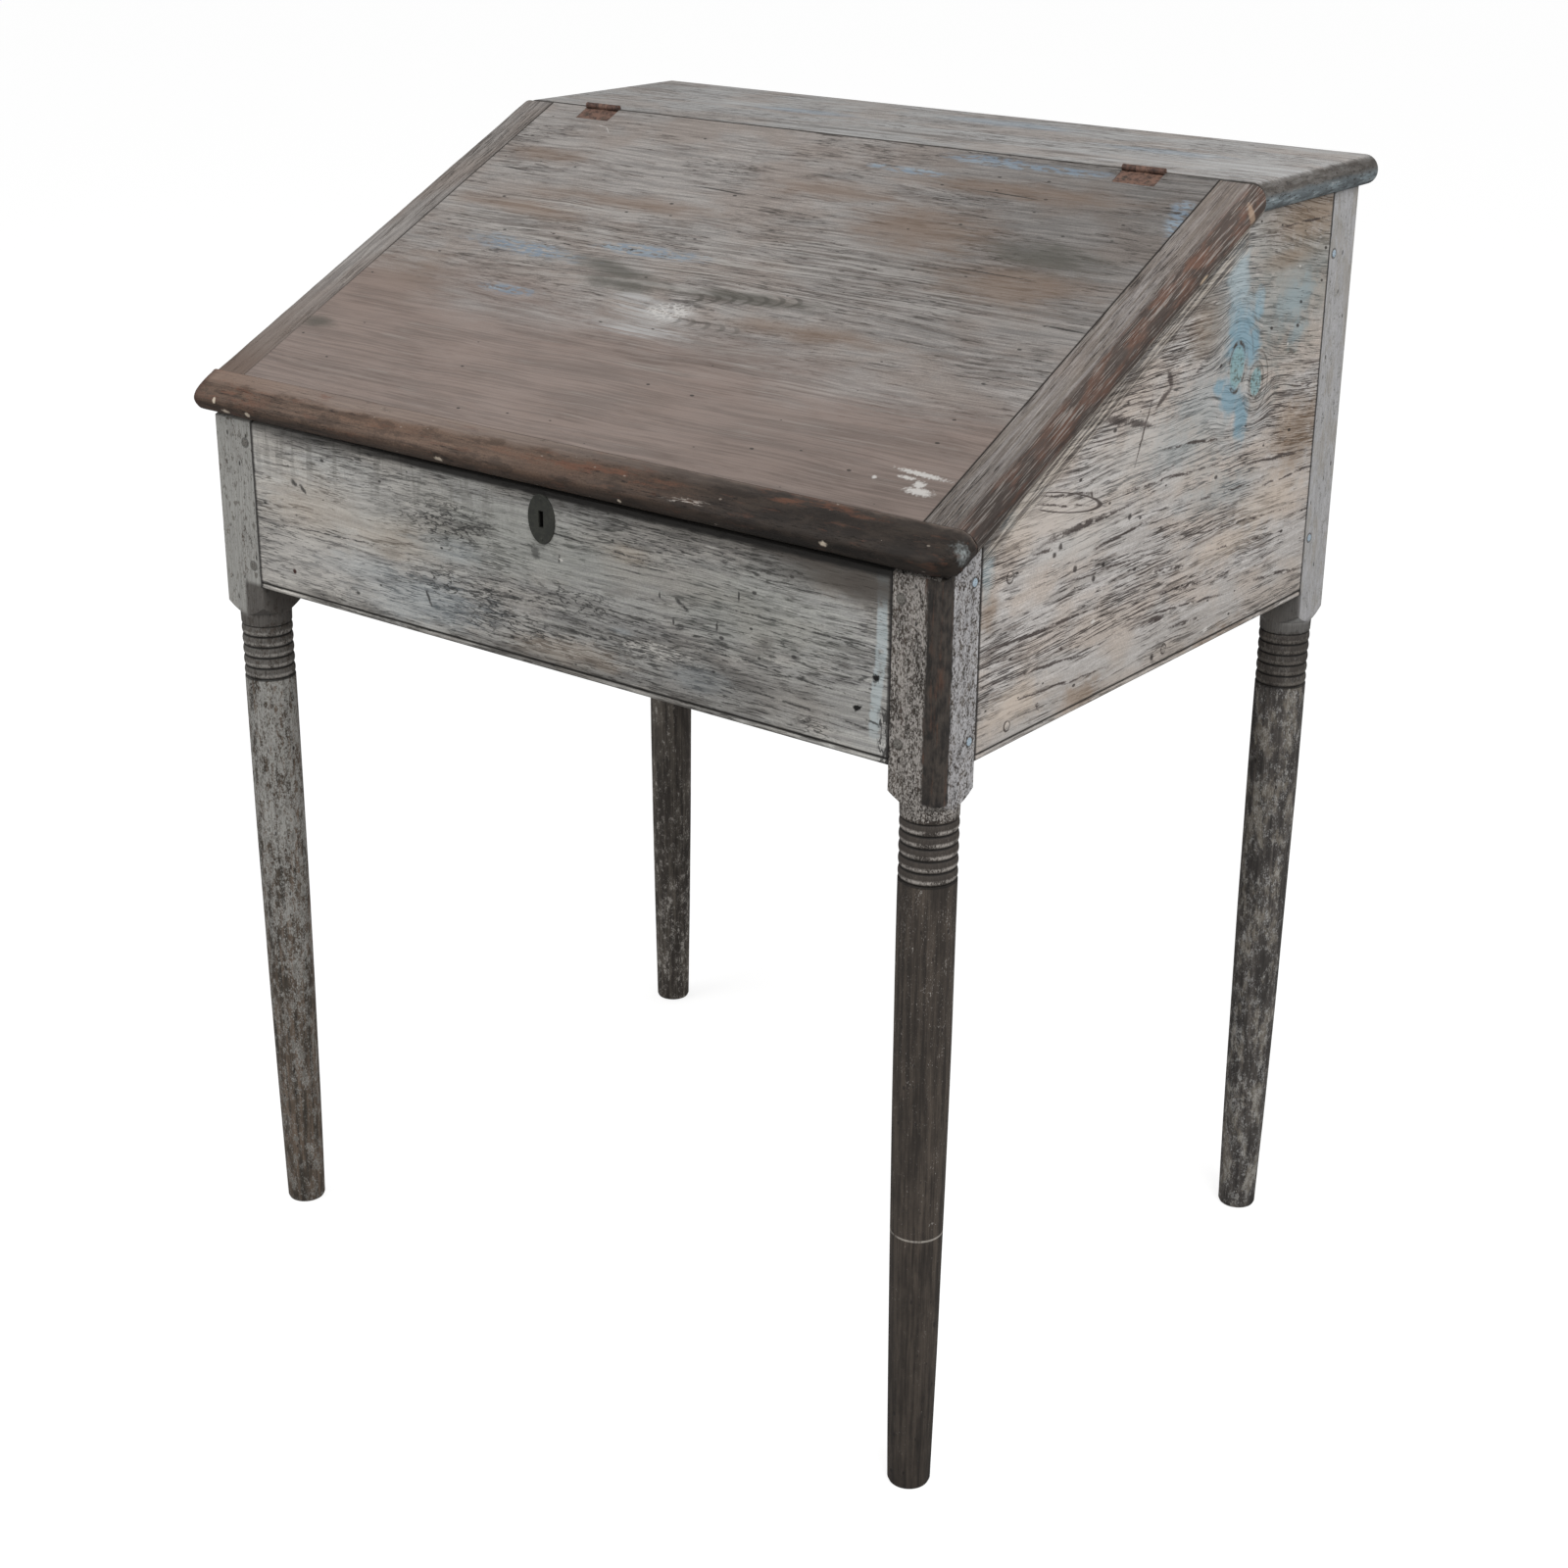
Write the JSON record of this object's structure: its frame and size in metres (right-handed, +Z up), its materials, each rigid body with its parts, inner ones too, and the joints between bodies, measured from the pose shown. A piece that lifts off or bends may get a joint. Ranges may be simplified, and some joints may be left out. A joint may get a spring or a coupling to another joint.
{
  "type": "clerk's standing desk",
  "caption": "Slant-top standing desk: pegged box on four ringed, turned legs, fixed top board, and a hinged, bullnosed writing lid over a locked well.",
  "frame": {"origin": "on the floor at the middle of the desk's plan", "axes": "+X to the desk's right as one writes at it seen from the front, +Y to the back, +Z up; the writing side faces -Y"},
  "size_m": [0.8834, 0.6974, 1.1199],
  "materials": {
    "leg_wood": "turned pine, worn grey-white paint over dark wood",
    "apron_wood": "pine, worn pale grey-blue paint",
    "side_wood": "pine, worn pale paint with blue traces",
    "back_wood": "pine, thin worn paint",
    "inner_wood": "bare aged pine",
    "top_wood": "pine, worn grey-blue paint",
    "lid_wood": "pine, hand-worn brown and grey",
    "peg_wood": "turned peg end grain",
    "hinge_iron": "rusted iron",
    "escutcheon_metal": "dark patinated iron",
    "lock_iron": "dark iron sheet"
  },
  "bodies": {
    "carcase": {"back_panel": "back_wood", "escutcheon": "escutcheon_metal", "floor_board_1": "inner_wood", "floor_board_2": "inner_wood", "floor_board_3": "inner_wood", "front_apron": "apron_wood", "hinge_left_fixed_leaf": "hinge_iron", "hinge_left_pin": "hinge_iron", "hinge_right_fixed_leaf": "hinge_iron", "hinge_right_pin": "hinge_iron", "joint_pegs": "peg_wood", "ledger_back": "inner_wood", "ledger_front": "inner_wood", "ledger_left": "inner_wood", "ledger_right": "inner_wood", "leg_back_left": "leg_wood", "leg_back_right": "leg_wood", "leg_front_left": "leg_wood", "leg_front_right": "leg_wood", "lock_cap": "lock_iron", "lock_plate": "lock_iron", "side_panel_left": "side_wood", "side_panel_right": "side_wood", "top_board": "top_wood"},
    "lid": {"hinge_left_lid_leaf": "hinge_iron", "hinge_right_lid_leaf": "hinge_iron", "lid_cleat_left": "lid_wood", "lid_cleat_right": "lid_wood", "lid_nosing": "lid_wood", "lid_panel": "lid_wood", "lock_staple": "lock_iron"},
    "lock_bolt": {"lock_bolt": "lock_iron"}
  },
  "joints": [
    {"name": "lid_hinge", "type": "hinge", "parent": "carcase", "child": "lid", "pos_m": [0, 0.12335, 1.11688], "axis": [-1, 0, 0], "range_deg": [0, 205]},
    {"name": "lock_bolt_slide", "type": "slide", "parent": "carcase", "child": "lock_bolt", "axis": [1, 0, 0], "range_m": [0, 0.009]}
  ]
}
